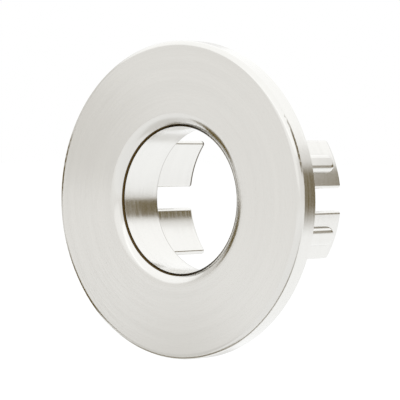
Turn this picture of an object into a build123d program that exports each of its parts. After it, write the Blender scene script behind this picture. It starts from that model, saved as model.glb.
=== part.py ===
from build123d import *
import os

# A basin overflow ring: a round flange with an open middle, a short collar behind it
# and four spring fingers that press into the overflow hole of a basin.
# Millimetres. The ring's axis is Y, its front face looks to -Y and the fingers point
# to +Y. The origin is on the axis, in the plane of the flange's back, which rests on
# the basin. +Z is up.

# Flange
flange_radius = 17.0
flange_thickness = 2.62
front_rim_round = 0.58
back_rim_chamfer = 0.30

# Opening through the flange and the collar: the front rolls into it over a lip, behind which
# a fine seam runs round, before the plain bore. Set-backs are counted from the front face.
bore_radius = 7.88
bore_end_chamfer = 0.25
bore_set_back = 0.72
lip_inner_radius = 8.13
lip_width = 1.17
lip_round = 1.54
seam_radius = 8.05
seam_set_back = 1.22

# Collar and fingers, their lengths counted from the flange's back
collar_length = 3.72
finger_length = 11.66
finger_inner_radius = 9.78
finger_wall = 1.70
finger_edge_round = 0.35

# Two fingers of a side stand apart by a slot, and both sides end at this height
side_slot_height = 2.40
finger_top_height = 6.39

# Grip pad on the outer face of each finger
pad_angle = 19.6
pad_width = 2.05
pad_height = 0.77
pad_end_margin = 1.28
pad_corner_radius = 0.95
pad_edge_round = 0.62
pad_rooting = 0.60

# Sizes that follow from these
lip_depth = lip_round - (lip_round**2 - lip_width**2) ** 0.5
finger_outer_radius = finger_inner_radius + finger_wall
cut_depth = finger_length - collar_length
gap_height = finger_outer_radius - finger_top_height
pad_length = cut_depth - pad_end_margin
pad_centre = collar_length + pad_length / 2

# Points of the turned section round the opening, and its corners that are softened: radius,
# distance along the axis
lip_start = (lip_inner_radius + lip_width, -flange_thickness)
lip_end = (lip_inner_radius, lip_depth - flange_thickness)
seam_bottom = (seam_radius, seam_set_back - flange_thickness)
bore_start = (bore_radius, bore_set_back - flange_thickness)
front_rim_corner = (flange_radius, -flange_thickness)
back_rim_corner = (flange_radius, 0)
bore_end_corner = (bore_radius, collar_length)

# Plane in which the fingers meet the collar, looking along the axis
finger_root = Plane((0, collar_length, 0), x_dir=(1, 0, 0), z_dir=(0, 1, 0))

# Plane of a pad's top, square to the radius that leans up by the pad's angle
pad_side = Plane((0, pad_centre, 0), x_dir=(0, 1, 0), z_dir=(1, 0, 0))
pad_top = pad_side.rotated((0, pad_angle, 0)).offset(finger_outer_radius + pad_height)

# Four grip pads, sunk a little into the fingers that carry them. Seen from outside a pad
# has a rounded tip, and its long edges and its tip are softened.
with BuildPart() as pads:
    with BuildSketch(pad_top) as pad_plan:
        Rectangle(pad_length, pad_width)
        fillet(pad_plan.vertices().group_by(Axis.X)[-1], pad_corner_radius)
    extrude(amount=-(pad_height + pad_rooting))
    outer_face = pads.faces().sort_by(Axis(pad_top.origin, pad_top.z_dir))[-1]
    fillet(outer_face.edges().sort_by(Axis.Y)[1:], pad_edge_round)
    mirror(about=Plane.XY)
    mirror(about=Plane.YZ)

with BuildPart() as overflow_ring:
    # Half section of flange, collar and finger sleeve, turned about the axis
    with BuildSketch(Plane.XY) as section:
        with BuildLine():
            Polyline(
                lip_start,
                front_rim_corner,
                back_rim_corner,
                (finger_outer_radius, 0),
                (finger_outer_radius, finger_length),
                (finger_inner_radius, finger_length),
                (finger_inner_radius, collar_length),
                bore_end_corner,
                bore_start,
                seam_bottom,
                lip_end,
            )
            RadiusArc(lip_start, lip_end, lip_round)
        make_face()
        fillet(section.vertices().sort_by_distance(front_rim_corner)[0], front_rim_round)
        chamfer(section.vertices().sort_by_distance(back_rim_corner)[0], back_rim_chamfer)
        chamfer(section.vertices().sort_by_distance(bore_end_corner)[0], bore_end_chamfer)
    revolve(axis=Axis.Y)

    # The side slots and the wide top and bottom gaps leave four fingers on the collar
    with BuildSketch(finger_root):
        Rectangle(2 * finger_outer_radius, side_slot_height)
        for side in (1, -1):
            with Locations((0, side * (finger_top_height + gap_height / 2))):
                Rectangle(2 * finger_outer_radius, gap_height)
    extrude(amount=cut_depth, mode=Mode.SUBTRACT)

    # Every edge of a finger is softened, apart from those where it meets the collar
    finger_edges = overflow_ring.edges().filter_by_position(
        Axis.Y, collar_length + finger_edge_round, finger_length + finger_edge_round
    )
    fillet(finger_edges, finger_edge_round)

    add(pads.part)

overflow_ring.part.label = "overflow_ring"

os.makedirs("parts", exist_ok=True)
export_step(overflow_ring.part, "parts/overflow_ring.step")
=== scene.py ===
"""Basin overflow ring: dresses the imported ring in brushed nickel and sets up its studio."""

import math

import bpy
import numpy as np
from mathutils import Matrix, Vector


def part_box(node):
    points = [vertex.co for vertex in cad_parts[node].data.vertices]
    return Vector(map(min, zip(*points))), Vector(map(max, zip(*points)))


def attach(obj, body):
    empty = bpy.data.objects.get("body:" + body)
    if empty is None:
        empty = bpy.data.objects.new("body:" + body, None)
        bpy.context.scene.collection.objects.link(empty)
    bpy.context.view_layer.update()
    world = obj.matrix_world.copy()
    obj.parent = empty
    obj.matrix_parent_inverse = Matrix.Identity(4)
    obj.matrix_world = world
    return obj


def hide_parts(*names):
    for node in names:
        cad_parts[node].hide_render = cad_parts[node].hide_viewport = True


bl_info = {
    "name": "Basin Overflow Ring",
    "version": (1, 0, 0),
    "blender": (4, 5, 0),
    "location": "View3D > Sidebar > Overflow Ring",
    "description": "Dresses a basin overflow ring in brushed nickel and lights it",
    "category": "Object",
}

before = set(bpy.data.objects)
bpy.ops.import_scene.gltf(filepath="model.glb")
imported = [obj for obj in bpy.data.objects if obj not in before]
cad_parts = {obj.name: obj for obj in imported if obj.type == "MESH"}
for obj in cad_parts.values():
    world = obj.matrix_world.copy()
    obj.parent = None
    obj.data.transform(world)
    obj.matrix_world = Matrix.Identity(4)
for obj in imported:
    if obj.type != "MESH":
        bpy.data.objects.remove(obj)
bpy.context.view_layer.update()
RING = "overflow_ring"
LOW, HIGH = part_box(RING)

# Places along the axis of the flange's face and of the fingers' tips, in metres
FACE_Y = LOW.y
TIPS_Y = HIGH.y

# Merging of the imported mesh's loose corners, in decimals of a metre
MERGE_DIGITS = 7

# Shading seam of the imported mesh: how near to its plane a corner of it lies, in metres, and how
# far the corner's normal leans out of that plane at most
SHADING_SEAM_REACH = 0.000001
SHADING_SEAM_LEAN = 0.1

# Painted shade on the nickel, in metres. Four numbers are the edges of a stretch that is soft
# between the outer and the inner two, and two numbers are the ends of one soft edge. First the
# painted shade
# in the fine seam behind the lip: its radii, its places along the axis, and where it fades towards
# +X.
SEAM_RADIUS = (0.00803, 0.00806, 0.00812, 0.00816)
SEAM_PLACE = (FACE_Y + 0.00055, FACE_Y + 0.0006, FACE_Y + 0.00125, FACE_Y + 0.0013)
SEAM_SIDE = (0.001, 0.004)

# The painted shade at the bore's end: where it ends outwards, its places along the axis, and
# its darkness
BORE_END_RADIUS = (0.008, 0.0081)
BORE_END_PLACE = (0.0033, 0.00338, 0.0035, 0.00355)
BORE_END_SHADE = 0.3

# The painted shade at the fingers' tips: the same three, and the heights between which it sets
# in, so that only the upper fingers have it
TIP_RADIUS = (0.0103, 0.0105)
TIP_PLACE = (TIPS_Y - 0.00046, TIPS_Y - 0.0004, TIPS_Y - 0.0001, TIPS_Y - 0.00004)
TIP_SHADE = 1
TIP_HEIGHT = (0, 0.001)

# Brushing: outputs with how many times coarser than a brush line each is, the noise's detail
# and roughness, and the least radius that a place is divided by, in metres
BRUSHING_OUTPUTS = (("Lines", 1.0), ("Bands", 4.0))
BRUSHING_DETAIL = 3
BRUSHING_NOISE_ROUGHNESS = 0.6
LEAST_RADIUS = 0.0001

# Noise values between which a band's colour and a line's roughness change
BAND_NOISE = (0.3, 0.7)
LINE_NOISE = (0.4, 0.6)

# Turn of the stretched highlight that lays it across the brush lines, where 1 is a full turn
HIGHLIGHT_TURN = 0.25

# Light of the stage, where 1 is white
WORLD_LEVEL = 0.7
LAMP_COLOUR = (0.88, 0.93, 1.0)

# Lamps: name, size, place and target in metres, and level
LAMPS = (
    ("overhead", (1.6, 1.6), (0, 0, 0.4), (0, 0, 0), 0.36),
    ("front", (0.7, 0.35), (0.05, -0.6, 0.2), (0, 0, 0.05), 0.2),
)

# Floor: half its width in metres, its matt colour, its glow near and far, and the distances
# from its middle between which the glow changes
FLOOR_HALF = 10.0
FLOOR_COLOUR = (0.8, 0.8, 0.8)
FLOOR_GLOW = (0.3, 0.46)
FLOOR_GLOW_REACH = (0.2, 1.3)

# The floor behind the ring looks lighter to the metal than to the camera: by how much, the
# places along Y between which that sets in, and the distances between which it fades
FLOOR_LIFT = 0.2
FLOOR_LIFT_PLACE = (-0.03, 0.05)
FLOOR_LIFT_REACH = (0.1, 0.8)

# Nearest and furthest distance that the camera sees, in metres
CAMERA_REACH = (0.01, 100)

# Dark cards: name, distance in metres, edges of the tilt and of the turn in degrees, darkness.
# The first three are named by what mirrors them, and the others by where they stand in the
# camera's view.
DARK_CARDS = (
    ("rim_band_card", 0.055, (113, 122, 131, 135), (-22, -2, 14, 24), 0.96),
    ("finger_band_card", 0.0548, (132, 136, 140, 143), (-22, -3, 22, 34), 0.55),
    ("bore_band_card", 0.0552, (140, 143, 162, 170), (-6, 2, 26, 35), 0.96),
    ("low_left_card", 0.15, (52, 57, 80, 94), (-174, -168, -160, -152), 1.0),
    ("lowest_left_card", 0.151, (58, 67, 105, 120), (-166, -158, -136, -120), 1.0),
    ("high_left_card", 0.15, (53, 58, 86, 98), (166, 172, 178, 183), 1.0),
    ("left_card", 0.4, (55, 75, 125, 145), (140, 160, 200, 220), 0.2),
    ("left_face_card", 0.055, (40, 50, 58, 66), (156, 165, 174, 182), 0.13),
    ("lower_card", 0.055, (70, 82, 92, 102), (-148, -132, -98, -78), 0.85),
    ("lower_right_card", 0.055, (87, 94, 102, 109), (-100, -88, -50, -2), 0.8),
    ("right_card", 0.055, (90, 96, 112, 118), (12, 18, 34, 43), 1.0),
    ("front_floor_card", 0.0555, (30, 44, 66, 80), (-165, -140, -114, -98), 0.25),
    ("back_floor_card", 0.055, (112, 122, 150, 160), (-143, -136, -122, -110), 0.3),
)

# Points of a card's grid along its tilt and along its turn
CARD_GRID = (49, 97)


def linear(colour):
    """Linear colour of an sRGB one given as 0 to 255."""
    share = np.array(colour, float) / 255
    return tuple(np.where(share > 0.04045, ((share + 0.055) / 1.055) ** 2.4, share / 12.92))


class RingFinish(bpy.types.PropertyGroup):
    """Colour and brushing of the nickel."""

    nickel: bpy.props.FloatVectorProperty(
        name="Nickel",
        description="Colour of the brushed nickel",
        subtype="COLOR",
        size=3,
        min=0.0,
        max=1.0,
        default=linear((221, 219, 214)),
    )
    # Painted shade: this colour stands for the shade and dark reflection in the fine seam behind
    # the lip
    seam: bpy.props.FloatVectorProperty(
        name="Seam",
        description="Colour of the painted shade in the fine seam behind the lip",
        subtype="COLOR",
        size=3,
        min=0.0,
        max=1.0,
        default=(0.16, 0.1, 0.03),
    )
    # Painted shade: this colour stands for the dark edge reflections at the bore's end and the
    # upper fingers' tips
    edge: bpy.props.FloatVectorProperty(
        name="Painted edge shade",
        description="Colour of the painted shade at the bore's end and the upper fingers' tips",
        subtype="COLOR",
        size=3,
        min=0.0,
        max=1.0,
        default=(0.1, 0.08, 0.05),
    )
    tint: bpy.props.FloatProperty(
        name="Streak tint",
        description="How much darker the darkest brush lines are than the rest",
        min=0.0,
        max=1.0,
        default=0.035,
        subtype="FACTOR",
    )
    roughness: bpy.props.FloatProperty(
        name="Roughness",
        description="Middle roughness of the brushed metal",
        min=0.02,
        max=1.0,
        default=0.18,
        subtype="FACTOR",
    )
    roughness_spread: bpy.props.FloatProperty(
        name="Roughness spread",
        description="How far the roughness changes from one brush line to the next",
        min=0.0,
        max=0.5,
        default=0.04,
        subtype="FACTOR",
    )
    line_width: bpy.props.FloatProperty(
        name="Line width",
        description="Usual width of one brush line",
        default=0.00016,
        unit="LENGTH",
    )
    line_depth: bpy.props.FloatProperty(
        name="Line depth",
        description="Depth of a brush line",
        default=0.000001,
        unit="LENGTH",
    )
    anisotropy: bpy.props.FloatProperty(
        name="Anisotropy",
        description="How far the brush lines stretch a highlight across themselves",
        min=0.0,
        max=1.0,
        default=0.6,
        subtype="FACTOR",
    )


class RingStudio(bpy.types.PropertyGroup):
    """Camera, floor and dark cards."""

    azimuth: bpy.props.FloatProperty(
        name="Azimuth",
        description="How far round to the right the camera stands",
        default=math.radians(40.12),
        subtype="ANGLE",
    )
    elevation: bpy.props.FloatProperty(
        name="Elevation",
        description="How far above the ring's axis the camera stands",
        default=math.radians(1.126),
        subtype="ANGLE",
    )
    distance: bpy.props.FloatProperty(
        name="Distance",
        description="Distance from the camera to the flange's face",
        default=0.255,
        unit="LENGTH",
    )
    aside: bpy.props.FloatProperty(
        name="Aside",
        description="How far the camera is moved to its right, to place the ring in the view",
        default=0.0026426,
        unit="LENGTH",
    )
    above: bpy.props.FloatProperty(
        name="Above",
        description="How far the camera is moved up, to place the ring in the view",
        default=0.0000229,
        unit="LENGTH",
    )
    lens: bpy.props.FloatProperty(
        name="Lens",
        description="Focal length on a sensor 36 mm wide",
        default=215.55,
        unit="CAMERA",
    )
    floor_drop: bpy.props.FloatProperty(
        name="Floor drop",
        description="How far the floor lies below the ring's axis",
        default=0.06,
        unit="LENGTH",
    )
    dark: bpy.props.FloatVectorProperty(
        name="Dark card",
        description="Colour of the dark cards that the metal mirrors",
        subtype="COLOR",
        size=3,
        min=0.0,
        max=1.0,
        default=(0.13, 0.085, 0.0),
    )


def wire(tree, start, end):
    """Links an output socket to an input socket."""
    tree.links.new(start, end)


def math_node(tree, operation, *values):
    """Adds a Math node; a value is a number or a socket to link."""
    node = tree.nodes.new("ShaderNodeMath")
    node.operation = operation
    for socket, value in zip(node.inputs, values):
        if isinstance(value, (int, float)):
            socket.default_value = value
        else:
            wire(tree, value, socket)
    return node.outputs[0]


def ramp_node(tree, value, low, high, start, end):
    """Adds a Map Range node from start and end to low and high, and gives its result."""
    node = tree.nodes.new("ShaderNodeMapRange")
    wire(tree, value, node.inputs["Value"])
    for name, number in (
        ("From Min", start),
        ("From Max", end),
        ("To Min", low),
        ("To Max", high),
    ):
        node.inputs[name].default_value = number
    return node.outputs["Result"]


def band_mask(tree, value, edges):
    """Adds nodes that are 0 outside the outer two of four edges and 1 between the inner two."""
    rise = ramp_node(tree, value, 0, 1, edges[0], edges[1])
    fall = ramp_node(tree, value, 1, 0, edges[2], edges[3])
    return math_node(tree, "MULTIPLY", rise, fall)


def colour_mix(tree, first, second, share):
    """Adds a Mix node of two colours, each of them a socket or three numbers."""
    mix = tree.nodes.new("ShaderNodeMix")
    mix.data_type = "RGBA"
    sockets = [socket for socket in mix.inputs if socket.type == "RGBA"]
    for socket, colour in zip(sockets, (first, second)):
        if isinstance(colour, bpy.types.NodeSocket):
            wire(tree, colour, socket)
        else:
            socket.default_value = (*colour, 1)
    wire(tree, share, mix.inputs["Factor"])
    return next(socket for socket in mix.outputs if socket.type == "RGBA")


def group_node(tree, group):
    """Places a node group in a tree."""
    node = tree.nodes.new("ShaderNodeGroup")
    node.node_tree = group
    return node


def add_sockets(group, sockets):
    """Gives a node group its named inputs and outputs."""
    for name, side, kind, value in sockets:
        socket = group.interface.new_socket(name=name, in_out=side, socket_type=kind)
        if value is not None:
            socket.default_value = value


def turned_place(tree):
    """Adds nodes for a point's distance from the Y axis, and gives it with y, x and z."""
    place = tree.nodes.new("ShaderNodeTexCoord")
    parts = tree.nodes.new("ShaderNodeSeparateXYZ")
    wire(tree, place.outputs["Object"], parts.inputs[0])
    x, y, z = parts.outputs
    across = math_node(tree, "MULTIPLY", x, x)
    radius = math_node(tree, "SQRT", math_node(tree, "MULTIPLY_ADD", z, z, across))
    return radius, y, x, z


def turned_brushing():
    """Builds the node group of lines brushed round the Y axis.

    A point's distance from the axis and its place along the axis are stretched far more than
    its place round the axis, so a noise over the four numbers runs in long arcs.
    """
    group = bpy.data.node_groups.new("turned_brushing", "ShaderNodeTree")
    add_sockets(
        group,
        (
            ("Line width", "INPUT", "NodeSocketFloat", 0.0002),
            ("Lines per turn", "INPUT", "NodeSocketFloat", 3.0),
            ("Lines", "OUTPUT", "NodeSocketFloat", None),
            ("Bands", "OUTPUT", "NodeSocketFloat", None),
        ),
    )
    start = group.nodes.new("NodeGroupInput")
    end = group.nodes.new("NodeGroupOutput")
    radius, y, x, z = turned_place(group)
    safe = math_node(group, "MAXIMUM", radius, LEAST_RADIUS)
    for output, coarse in BRUSHING_OUTPUTS:
        width = math_node(group, "MULTIPLY", start.outputs["Line width"], coarse)
        arcs = math_node(group, "DIVIDE", start.outputs["Lines per turn"], coarse)
        noise = group.nodes.new("ShaderNodeTexNoise")
        noise.noise_dimensions = "4D"
        noise.inputs["Scale"].default_value = 1
        noise.inputs["Detail"].default_value = BRUSHING_DETAIL
        noise.inputs["Roughness"].default_value = BRUSHING_NOISE_ROUGHNESS
        point = group.nodes.new("ShaderNodeCombineXYZ")
        wire(group, math_node(group, "DIVIDE", radius, width), point.inputs["X"])
        wire(group, math_node(group, "DIVIDE", y, width), point.inputs["Y"])
        cosine = math_node(group, "DIVIDE", x, safe)
        sine = math_node(group, "DIVIDE", z, safe)
        wire(group, math_node(group, "MULTIPLY", cosine, arcs), point.inputs["Z"])
        wire(group, point.outputs[0], noise.inputs["Vector"])
        wire(group, math_node(group, "MULTIPLY", sine, arcs), noise.inputs["W"])
        wire(group, noise.outputs["Fac"], end.inputs[output])
    return group


def seam_shade_mask():
    """Builds the node group of the painted shade in the fine seam behind the lip: 1 there and 0
    elsewhere.

    The seam lies between two radii and two places along the axis, with soft edges. It fades
    out towards +X.
    """
    group = bpy.data.node_groups.new("seam_shade_mask", "ShaderNodeTree")
    add_sockets(group, (("Seam", "OUTPUT", "NodeSocketFloat", None),))
    end = group.nodes.new("NodeGroupOutput")
    radius, along, across, _ = turned_place(group)
    wall = band_mask(group, radius, SEAM_RADIUS)
    depth = band_mask(group, along, SEAM_PLACE)
    ring = math_node(group, "MULTIPLY", wall, depth)
    side = ramp_node(group, across, 1, 0, *SEAM_SIDE)
    wire(group, math_node(group, "MULTIPLY", ring, side), end.inputs["Seam"])
    return group


def edge_shade_mask():
    """Builds the node group of the painted shade at the bore's end and the upper fingers' tips.

    Each shade is a narrow stretch along the axis, on the surfaces inside a radius. The tips'
    shade is kept above the ring's middle.
    """
    group = bpy.data.node_groups.new("edge_shade_mask", "ShaderNodeTree")
    add_sockets(group, (("Edges", "OUTPUT", "NodeSocketFloat", None),))
    end = group.nodes.new("NodeGroupOutput")
    radius, along, _, height = turned_place(group)
    bore = ramp_node(group, radius, BORE_END_SHADE, 0, *BORE_END_RADIUS)
    bore = math_node(group, "MULTIPLY", bore, band_mask(group, along, BORE_END_PLACE))
    tips = ramp_node(group, radius, TIP_SHADE, 0, *TIP_RADIUS)
    tips = math_node(group, "MULTIPLY", tips, band_mask(group, along, TIP_PLACE))
    tips = math_node(group, "MULTIPLY", tips, ramp_node(group, height, 0, 1, *TIP_HEIGHT))
    wire(group, math_node(group, "MAXIMUM", bore, tips), end.inputs["Edges"])
    return group


def brushed_nickel(finish):
    """Builds the material of nickel brushed round the ring's axis."""
    material = bpy.data.materials.new("brushed_nickel")
    material.use_nodes = True
    tree = material.node_tree
    shader = tree.nodes["Principled BSDF"]
    shader.inputs["Anisotropic"].default_value = finish.anisotropy
    shader.inputs["Anisotropic Rotation"].default_value = HIGHLIGHT_TURN
    tangent = tree.nodes.new("ShaderNodeTangent")
    tangent.direction_type = "RADIAL"
    tangent.axis = "Y"
    wire(tree, tangent.outputs[0], shader.inputs["Tangent"])

    brushing = group_node(tree, turned_brushing())
    brushing.inputs["Line width"].default_value = finish.line_width
    lines, bands = brushing.outputs["Lines"], brushing.outputs["Bands"]
    marks = group_node(tree, edge_shade_mask()).outputs["Edges"]
    seam = group_node(tree, seam_shade_mask()).outputs["Seam"]

    darkest = [part * (1 - finish.tint) for part in finish.nickel]
    band_share = ramp_node(tree, bands, 0, 1, *BAND_NOISE)
    colour = colour_mix(tree, darkest, finish.nickel, band_share)
    # Painted shade: thin dark lines at the bore's end and the upper fingers' tips
    colour = colour_mix(tree, colour, finish.edge, marks)
    # Painted shade: the fine seam behind the lip is coloured dark brown and made matt
    colour = colour_mix(tree, colour, finish.seam, seam)
    wire(tree, colour, shader.inputs["Base Color"])
    wire(tree, math_node(tree, "SUBTRACT", 1.0, seam), shader.inputs["Metallic"])

    smoothest = finish.roughness - finish.roughness_spread
    roughest = finish.roughness + finish.roughness_spread
    rough = ramp_node(tree, lines, smoothest, roughest, *LINE_NOISE)
    wire(tree, rough, shader.inputs["Roughness"])

    bump = tree.nodes.new("ShaderNodeBump")
    bump.inputs["Strength"].default_value = 1
    bump.inputs["Distance"].default_value = finish.line_depth
    wire(tree, lines, bump.inputs["Height"])
    wire(tree, bump.outputs[0], shader.inputs["Normal"])
    return material


def turned_copy(node):
    """Copies a CAD node's mesh with its loose corners merged and its shading seam closed.

    The turned surfaces start and end in the half plane where z is 0 and x is above 0. Their
    normals lean apart there, one way on each side, so a mirrored edge breaks. Each of those
    normals is turned back into that plane. The form stays as it is. Triangles that the merging
    closes up are left out.
    """
    source = node.data
    corners = np.empty(len(source.loops), np.int32)
    source.loops.foreach_get("vertex_index", corners)
    points = np.empty(3 * len(source.vertices), np.float32)
    source.vertices.foreach_get("co", points)
    points = points.reshape(-1, 3)
    normals = np.empty(3 * len(source.loops), np.float32)
    source.corner_normals.foreach_get("vector", normals)
    normals = normals.reshape(-1, 3)

    merged, place = np.unique(np.round(points, MERGE_DIGITS), axis=0, return_inverse=True)
    faces = place.ravel()[corners].reshape(-1, 3)
    x, _, z = points[corners].T
    near = (np.abs(z) < SHADING_SEAM_REACH) & (x > 0)
    normals[near & (np.abs(normals[:, 2]) < SHADING_SEAM_LEAN), 2] = 0
    normals /= np.linalg.norm(normals, axis=1, keepdims=True)
    open_face = (faces != np.roll(faces, 1, axis=1)).all(axis=1)
    normals = normals.reshape(-1, 3, 3)[open_face].reshape(-1, 3)
    mesh = bpy.data.meshes.new("brushed_ring")
    mesh.from_pydata(merged.tolist(), [], faces[open_face].tolist())
    mesh.normals_split_custom_set(normals.tolist())
    mesh.update()
    return mesh


class RINGKIT_OT_finish(bpy.types.Operator):
    """Give the ring its brushed nickel"""

    bl_idname = "ringkit.finish"
    bl_label = "Brushed nickel"

    def execute(self, context):
        ring = bpy.data.objects.new("brushed_ring", turned_copy(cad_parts[RING]))
        context.scene.collection.objects.link(ring)
        ring.data.materials.append(brushed_nickel(context.scene.ring_finish))
        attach(ring, "root")
        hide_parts(RING)
        return {"FINISHED"}


def grid_mesh(name, points):
    """Makes a mesh of an array of points that has two parameters, rows and columns."""
    rows, columns = points.shape[:2]
    index = np.arange(rows * columns).reshape(rows, columns)
    corners = (index[:-1, :-1], index[:-1, 1:], index[1:, 1:], index[1:, :-1])
    faces = np.stack(corners, axis=-1).reshape(-1, 4)
    mesh = bpy.data.meshes.new(name)
    mesh.from_pydata(points.reshape(-1, 3).tolist(), [], faces.tolist())
    mesh.update()
    return mesh


def soft_step(value, width):
    """0 below 0 and 1 above the width; between, 3 times the share squared less twice its cube."""
    share = np.clip(value / width, 0, 1)
    return share * share * (3 - 2 * share)


def trapezoid(angles, edges):
    """Softly 0 outside the first and last of four edges, and 1 between the middle two."""
    first, full, full_end, last = edges
    rise = soft_step(angles - first, full - first)
    return rise * soft_step(last - angles, last - full_end)


def bare_material(name):
    """Makes a material without a shader, and gives it with its tree and its surface socket."""
    material = bpy.data.materials.new(name)
    material.use_nodes = True
    tree = material.node_tree
    tree.nodes.remove(tree.nodes["Principled BSDF"])
    return material, tree, tree.nodes["Material Output"].inputs["Surface"]


def card_material(name, colour):
    """Dark card that is see-through where its darkness is low."""
    material, tree, surface = bare_material(name)
    clear = tree.nodes.new("ShaderNodeBsdfTransparent")
    glow = tree.nodes.new("ShaderNodeEmission")
    glow.inputs["Color"].default_value = (*colour, 1)
    shade = tree.nodes.new("ShaderNodeAttribute")
    shade.attribute_name = "darkness"
    mix = tree.nodes.new("ShaderNodeMixShader")
    wire(tree, shade.outputs["Fac"], mix.inputs[0])
    wire(tree, clear.outputs[0], mix.inputs[1])
    wire(tree, glow.outputs[0], mix.inputs[2])
    wire(tree, mix.outputs[0], surface)
    return material


def add_card(name, radius, tilt, turn, depth, colour):
    """Adds a dark card that only the metal's mirroring sees.

    It is a patch of a sphere round the ring. A point's tilt is its angle from -Y, and its turn
    is its angle round Y from +X towards +Z. Each has four edges in degrees: the card is clear
    outside the outer two, and as dark as its depth between the inner two.
    """
    tilts = np.linspace(tilt[0], tilt[3], CARD_GRID[0])[:, None]
    turns = np.linspace(turn[0], turn[3], CARD_GRID[1])[None, :]
    mask = depth * trapezoid(tilts, tilt) * trapezoid(turns, turn)
    tilts, turns = np.radians(tilts), np.radians(turns)
    points = radius * np.stack(
        (
            np.sin(tilts) * np.cos(turns),
            -np.cos(tilts) * np.ones_like(turns),
            np.sin(tilts) * np.sin(turns),
        ),
        axis=-1,
    )
    mesh = grid_mesh(name, points)
    shade = mesh.attributes.new("darkness", "FLOAT", "POINT")
    shade.data.foreach_set("value", mask.astype(np.float32).ravel())
    card = bpy.data.objects.new(name, mesh)
    bpy.context.scene.collection.objects.link(card)
    mesh.materials.append(card_material(name, colour))
    card.visible_camera = False
    card.visible_diffuse = False
    card.visible_transmission = False
    card.visible_shadow = False


def seen_rays(tree):
    """Adds nodes that are 1 for camera, glossy and transmission rays, and for glossy ones only."""
    path = tree.nodes.new("ShaderNodeLightPath")
    glossy = path.outputs["Is Glossy Ray"]
    seen = math_node(tree, "MAXIMUM", path.outputs["Is Camera Ray"], glossy)
    seen = math_node(tree, "MAXIMUM", seen, path.outputs["Is Transmission Ray"])
    return seen, glossy


def floor_material():
    """Pale floor that shows white from afar and keeps the ring's shadow."""
    material, tree, surface = bare_material("floor")
    matt = tree.nodes.new("ShaderNodeBsdfDiffuse")
    matt.inputs["Color"].default_value = (*FLOOR_COLOUR, 1)
    place = tree.nodes.new("ShaderNodeTexCoord")
    length = tree.nodes.new("ShaderNodeVectorMath")
    length.operation = "LENGTH"
    wire(tree, place.outputs["Object"], length.inputs[0])
    away = length.outputs["Value"]
    parts = tree.nodes.new("ShaderNodeSeparateXYZ")
    wire(tree, place.outputs["Object"], parts.inputs[0])
    seen, glossy = seen_rays(tree)

    level = ramp_node(tree, away, *FLOOR_GLOW, *FLOOR_GLOW_REACH)
    behind = ramp_node(tree, parts.outputs["Y"], 0, FLOOR_LIFT, *FLOOR_LIFT_PLACE)
    lift = math_node(tree, "MULTIPLY", behind, ramp_node(tree, away, 1, 0, *FLOOR_LIFT_REACH))
    shader = matt.outputs[0]
    for colour, strength, rays in (((1, 1, 1), level, seen), (LAMP_COLOUR, lift, glossy)):
        glow = tree.nodes.new("ShaderNodeEmission")
        glow.inputs["Color"].default_value = (*colour, 1)
        wire(tree, math_node(tree, "MULTIPLY", strength, rays), glow.inputs["Strength"])
        add = tree.nodes.new("ShaderNodeAddShader")
        wire(tree, shader, add.inputs[0])
        wire(tree, glow.outputs[0], add.inputs[1])
        shader = add.outputs[0]
    wire(tree, shader, surface)
    return material


def add_floor(scene, drop):
    """Adds the level floor, a square below the ring's axis."""
    ends = np.array((-FLOOR_HALF, FLOOR_HALF))
    wide, deep = np.meshgrid(ends, ends)
    mesh = grid_mesh("floor", np.stack((wide, deep, np.full_like(wide, -drop)), axis=-1))
    mesh.materials.append(floor_material())
    floor = bpy.data.objects.new("floor", mesh)
    scene.collection.objects.link(floor)


def add_world(scene):
    """White all round, and a little less than white as a light on matt surfaces."""
    world = bpy.data.worlds.new("studio")
    world.use_nodes = True
    tree = world.node_tree
    seen, _ = seen_rays(tree)
    background = tree.nodes["Background"]
    background.inputs["Color"].default_value = (1, 1, 1, 1)
    wire(tree, ramp_node(tree, seen, WORLD_LEVEL, 1, 0, 1), background.inputs["Strength"])
    scene.world = world


def add_lamp(scene, name, size, place, target, level):
    """Adds a soft box of a given brightness, where 1 is as bright as a white background."""
    data = bpy.data.lights.new(name, "AREA")
    data.shape = "RECTANGLE"
    data.size, data.size_y = size
    data.energy = level * math.pi * size[0] * size[1]
    data.color = LAMP_COLOUR
    lamp = bpy.data.objects.new(name, data)
    lamp.location = place
    aim = Vector(target) - Vector(place)
    lamp.rotation_euler = aim.to_track_quat("-Z", "Y").to_euler()
    lamp.visible_camera = False
    scene.collection.objects.link(lamp)


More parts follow.
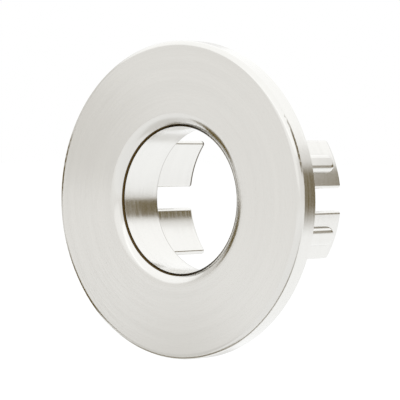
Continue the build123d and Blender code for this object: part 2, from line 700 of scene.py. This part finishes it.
def add_camera(scene, studio):
    """Stands the camera where the picture was taken from.

    The azimuth turns from -Y towards +X, and the elevation rises from level.
    """
    azimuth, elevation = studio.azimuth, studio.elevation
    back = Vector(
        (
            math.sin(azimuth) * math.cos(elevation),
            -math.cos(azimuth) * math.cos(elevation),
            math.sin(elevation),
        )
    )
    right = Vector((math.cos(azimuth), math.sin(azimuth), 0))
    up = back.cross(right)
    place = Vector((0, FACE_Y, 0)) + back * studio.distance
    place += right * studio.aside + up * studio.above
    data = bpy.data.cameras.new("camera")
    data.lens = studio.lens
    data.clip_start, data.clip_end = CAMERA_REACH
    camera = bpy.data.objects.new("camera", data)
    turned = Matrix((right, up, back)).transposed()
    camera.matrix_world = Matrix.Translation(place) @ turned.to_4x4()
    scene.collection.objects.link(camera)
    scene.camera = camera


class RINGKIT_OT_stage(bpy.types.Operator):
    """Set up the camera, the floor, the lights and the dark cards"""

    bl_idname = "ringkit.stage"
    bl_label = "Studio"

    def execute(self, context):
        scene = context.scene
        studio = scene.ring_studio
        scene.view_settings.view_transform = "Standard"
        add_camera(scene, studio)
        add_world(scene)
        add_floor(scene, studio.floor_drop)
        for lamp in LAMPS:
            add_lamp(scene, *lamp)
        for card in DARK_CARDS:
            add_card(*card, studio.dark)
        return {"FINISHED"}


class RINGKIT_PT_panel(bpy.types.Panel):
    """Finish and studio of the ring."""

    bl_label = "Overflow Ring"
    bl_space_type = "VIEW_3D"
    bl_region_type = "UI"
    bl_category = "Overflow Ring"

    def draw(self, context):
        column = self.layout.column()
        for group in (context.scene.ring_finish, context.scene.ring_studio):
            for name in group.__annotations__:
                column.prop(group, name)
        column.operator("ringkit.finish")
        column.operator("ringkit.stage")


CLASSES = (RingFinish, RingStudio, RINGKIT_OT_finish, RINGKIT_OT_stage, RINGKIT_PT_panel)


def register():
    """Registers the classes and hangs the settings on the scene."""
    for cls in CLASSES:
        bpy.utils.register_class(cls)
    bpy.types.Scene.ring_finish = bpy.props.PointerProperty(type=RingFinish)
    bpy.types.Scene.ring_studio = bpy.props.PointerProperty(type=RingStudio)


def unregister():
    """Undoes register."""
    del bpy.types.Scene.ring_studio
    del bpy.types.Scene.ring_finish
    for cls in reversed(CLASSES):
        bpy.utils.unregister_class(cls)


def main():
    """Builds the whole scene, one operator after the other."""
    register()
    bpy.ops.ringkit.stage()
    bpy.ops.ringkit.finish()


if __name__ == "__main__":
    main()
